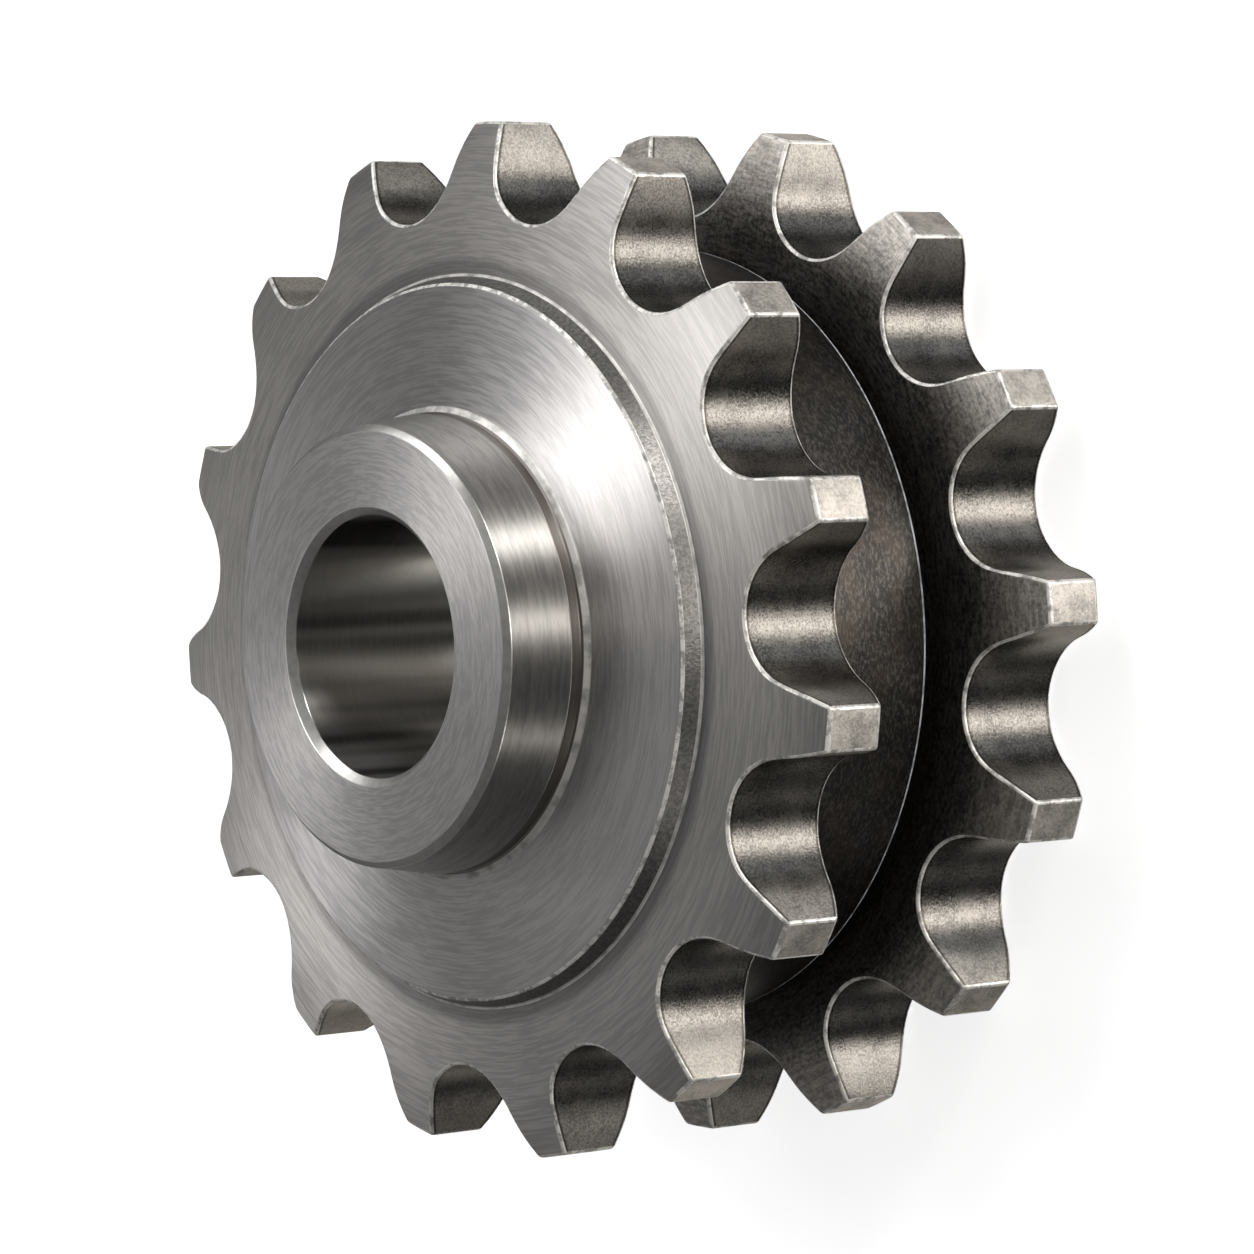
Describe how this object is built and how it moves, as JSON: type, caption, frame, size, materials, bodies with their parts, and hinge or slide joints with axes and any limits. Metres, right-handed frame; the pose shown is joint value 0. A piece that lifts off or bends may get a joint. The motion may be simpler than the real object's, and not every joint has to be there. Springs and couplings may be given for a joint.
{
  "type": "double single-strand chain sprocket",
  "caption": "One-piece steel sprocket with a bored hub and two staggered tooth rows, which drives two simplex roller chains side by side.",
  "frame": {"origin": "on the bore's axis, in the back face of the rear tooth row, which the sprocket stands on", "axes": "+Z along the bore's axis towards the hub's face; +X through a tooth of the front row, the one beside the hub"},
  "size_m": [0.064, 0.0638, 0.0322],
  "materials": {
    "turned_steel": "turned faces, hobbed teeth, slightly worn edges"
  },
  "bodies": {
    "root": {"sprocket": "turned_steel"}
  },
  "joints": []
}
